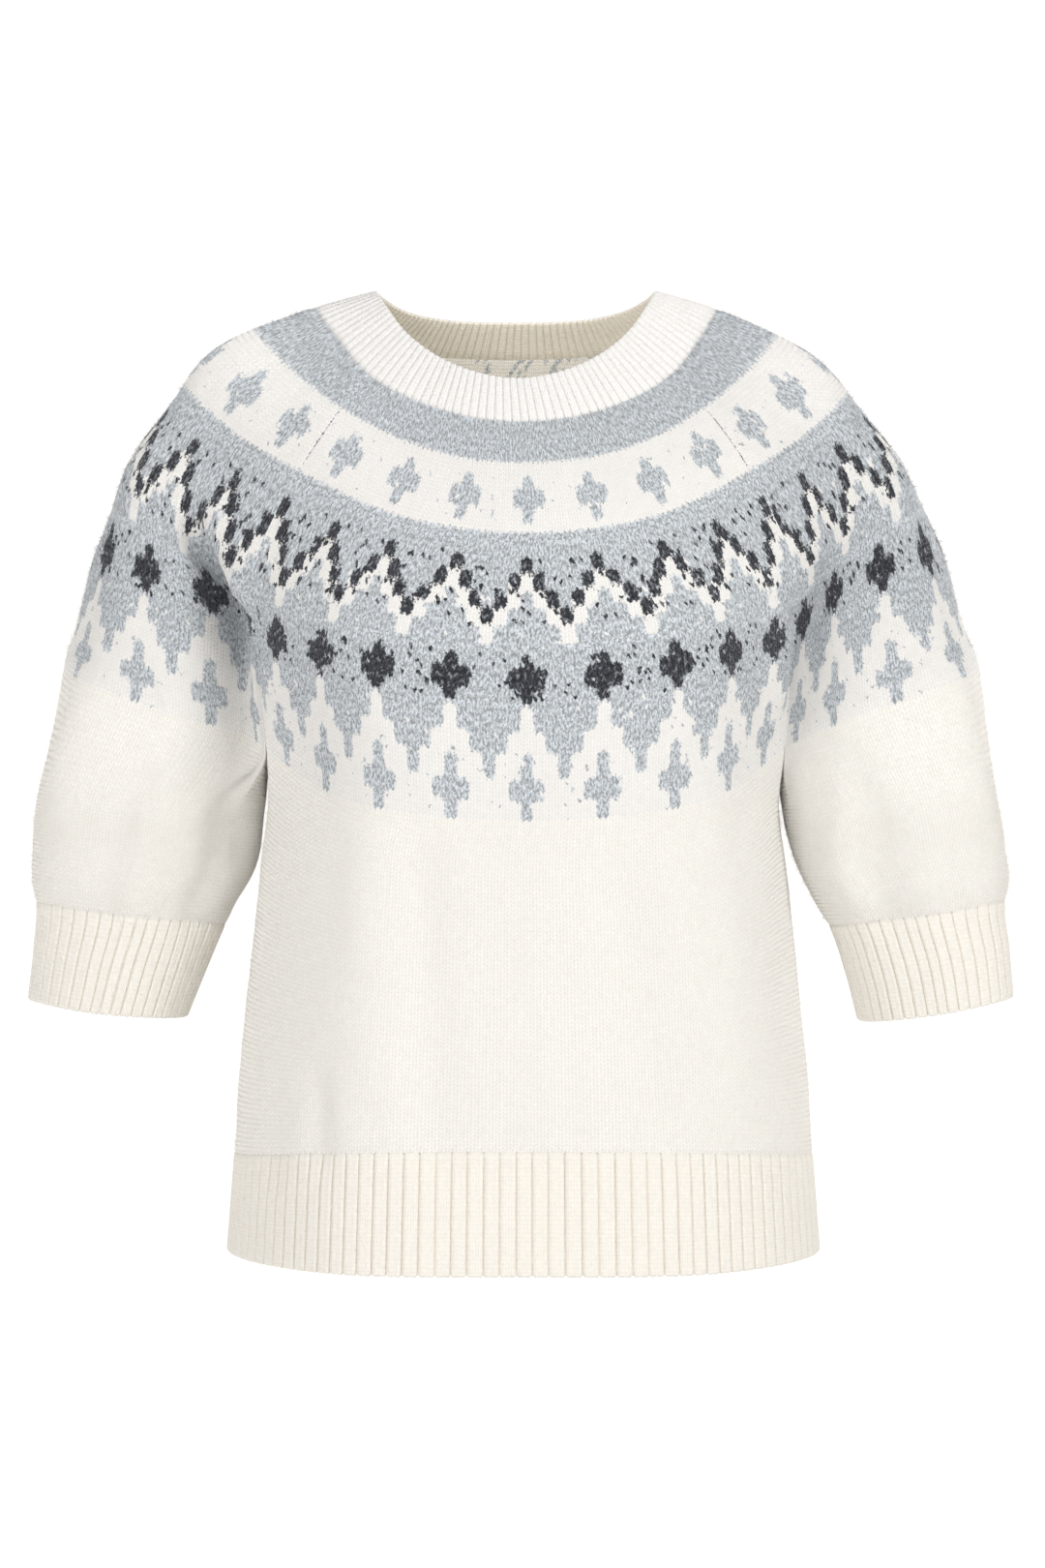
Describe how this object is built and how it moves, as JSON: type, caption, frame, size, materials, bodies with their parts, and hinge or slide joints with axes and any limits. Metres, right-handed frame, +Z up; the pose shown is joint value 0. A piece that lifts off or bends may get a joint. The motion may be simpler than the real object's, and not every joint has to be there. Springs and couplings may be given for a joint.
{
  "type": "nordic yoke sweater",
  "caption": "Hollow knitted pullover with a round patterned yoke, rib crew neck, elbow-length sleeves and deep rib hem and cuffs, filled out as if worn.",
  "frame": {"origin": "middle of the neck opening at the height of the two side neck points, where the wearer holds the sweater up", "axes": "+Z up, -Y the front of the sweater, +X the wearer's left"},
  "size_m": [0.6281, 0.2677, 0.6103],
  "materials": {
    "yoke_knit": "brushed wool-blend stocking stitch, cream with a grey, charcoal and white stranded yoke",
    "rib_knit": "brushed wool-blend rib, cream"
  },
  "bodies": {
    "root": {"front": "yoke_knit", "back": "yoke_knit", "sleeve_left": "yoke_knit", "sleeve_right": "yoke_knit", "neckband": "rib_knit", "hem_rib_front": "rib_knit", "hem_rib_back": "rib_knit", "cuff_left": "rib_knit", "cuff_right": "rib_knit"}
  },
  "joints": []
}
